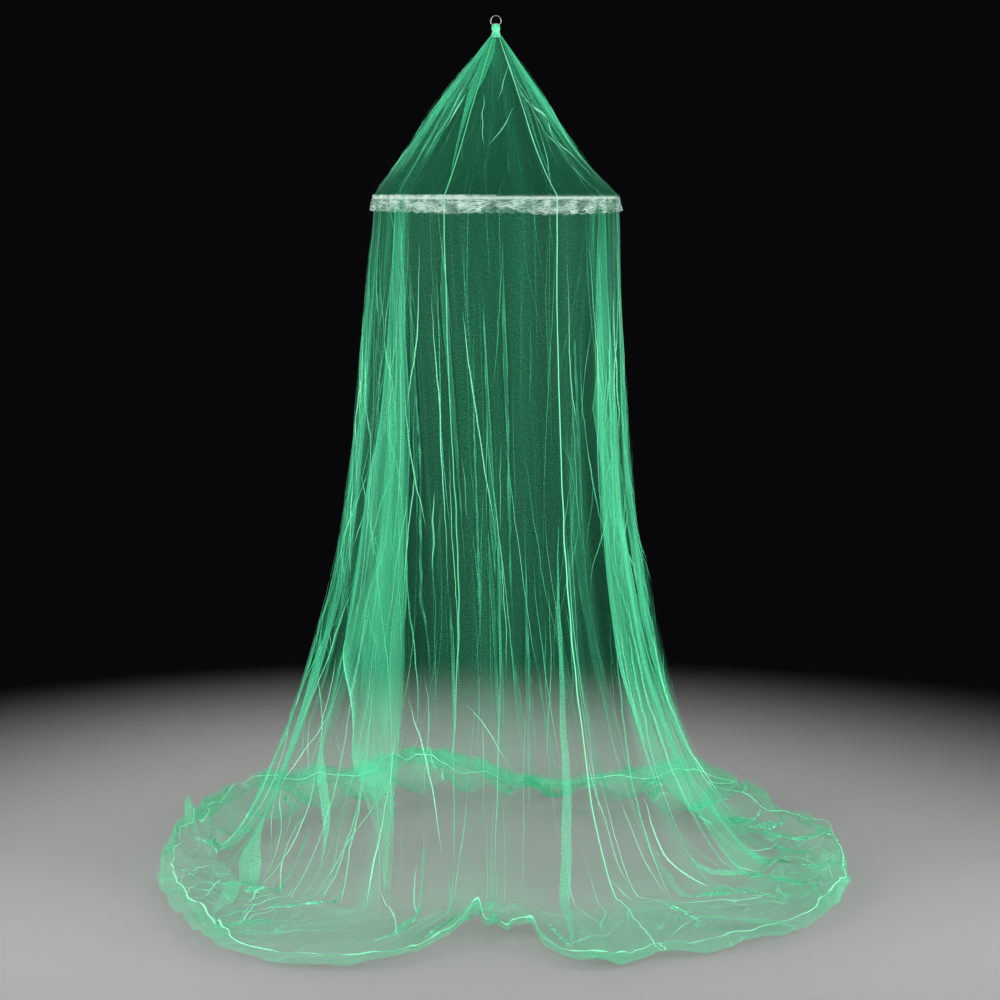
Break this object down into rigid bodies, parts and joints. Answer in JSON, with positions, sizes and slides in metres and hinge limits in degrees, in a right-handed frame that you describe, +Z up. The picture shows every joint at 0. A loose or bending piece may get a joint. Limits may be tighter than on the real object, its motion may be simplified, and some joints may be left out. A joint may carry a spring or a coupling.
{
  "type": "mosquito net canopy with spreading hoop",
  "caption": "Sheer net canopy gathered on a hanging ring, spread by a lace-trimmed hoop, falling in long uneven folds to a hem that pools on the floor.",
  "frame": {"origin": "inner top of the hang ring, where a hook carries it; the floor is 2.098 m below", "axes": "+Z up along the hanging line, the front with the notched hem towards -Y, +X to the front's right"},
  "size_m": [1.7038, 1.7392, 2.0961],
  "materials": {
    "green_net": "sheer fine net with a soft sheen",
    "green_binding": "narrow sewn thread and tape, matt",
    "white_lace": "open lace, matt",
    "hoop_plastic": "smooth tube",
    "ring_steel": "bright round wire"
  },
  "bodies": {
    "root": {"net_panel_right": "green_net", "net_panel_left": "green_net", "seam_front": "green_binding", "seam_back": "green_binding", "hem_binding": "green_binding", "lace_heading": "white_lace", "lace_frill": "white_lace", "hoop": "hoop_plastic", "neck_binding": "green_binding", "hang_ring": "ring_steel"}
  },
  "joints": []
}
